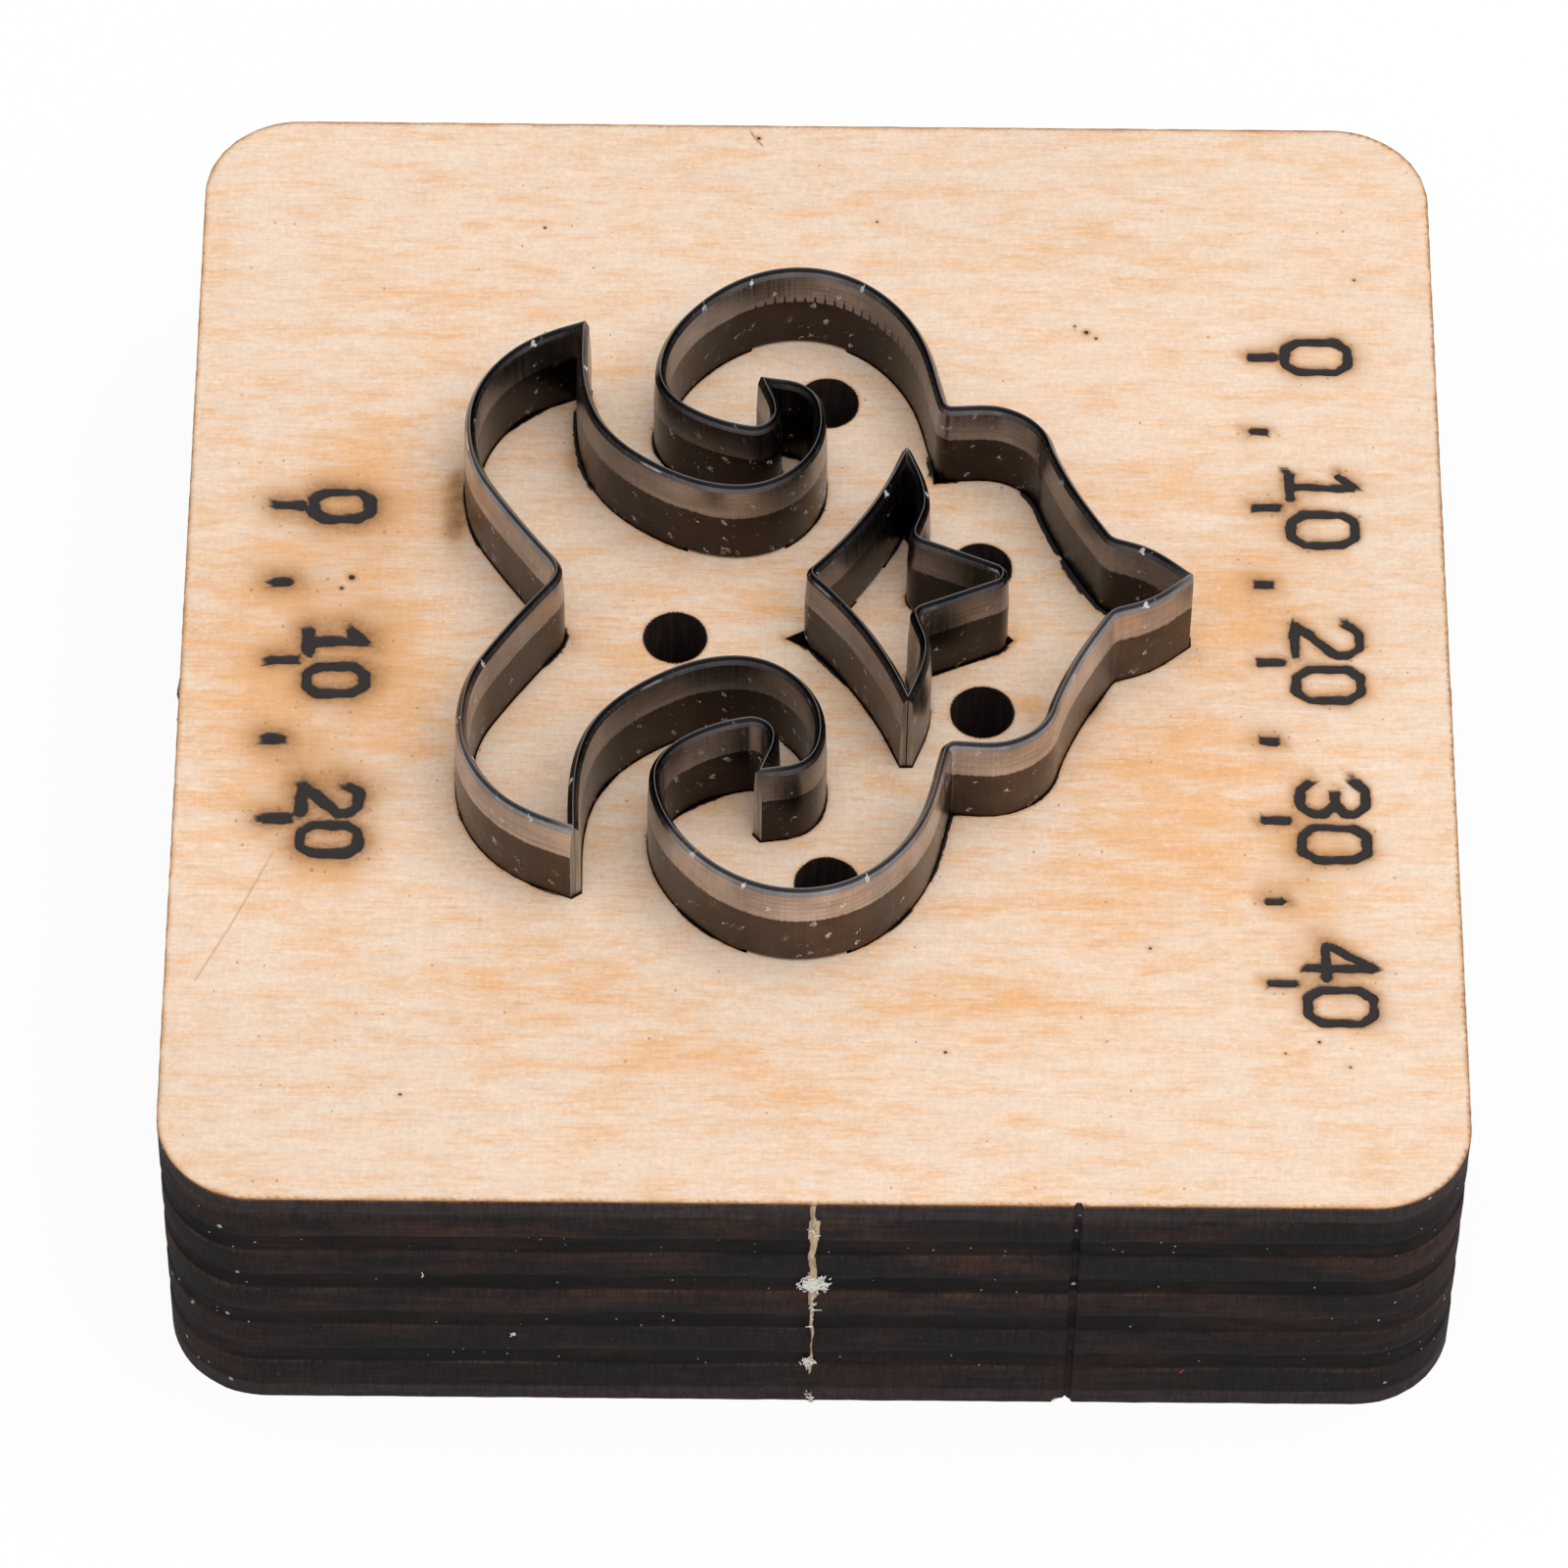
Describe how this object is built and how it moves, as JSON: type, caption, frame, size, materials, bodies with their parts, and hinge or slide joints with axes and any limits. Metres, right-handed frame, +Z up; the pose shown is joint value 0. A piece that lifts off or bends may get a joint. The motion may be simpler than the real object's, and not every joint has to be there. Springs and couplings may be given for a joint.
{
  "type": "steel rule die",
  "caption": "Small steel rule die: bent strips of cutting rule pressed into a laser-cut plywood block, outlining a scrolled ornament with a pierced figure inside.",
  "frame": {"origin": "centre of the board's back, the flat face that it rests on, in the back's plane", "axes": "+Z up through the board towards the cutting edges, +X towards the single tip of the outline, +Y from the front edge to the rear edge"},
  "size_m": [0.0656, 0.0693, 0.0238],
  "materials": {
    "birch_plywood": "sanded face veneer, edges charred by the laser",
    "rule_steel": "tempered strip steel, oiled dark, ground band below the edge"
  },
  "bodies": {
    "root": {"die_board": "birch_plywood", "left_lobe_rule": "rule_steel", "upper_arm_rule": "rule_steel", "upper_loop_rule": "rule_steel", "lower_loop_rule": "rule_steel", "lower_arm_rule": "rule_steel", "inner_chevron_rule": "rule_steel", "inner_arrow_rule": "rule_steel"}
  },
  "joints": []
}
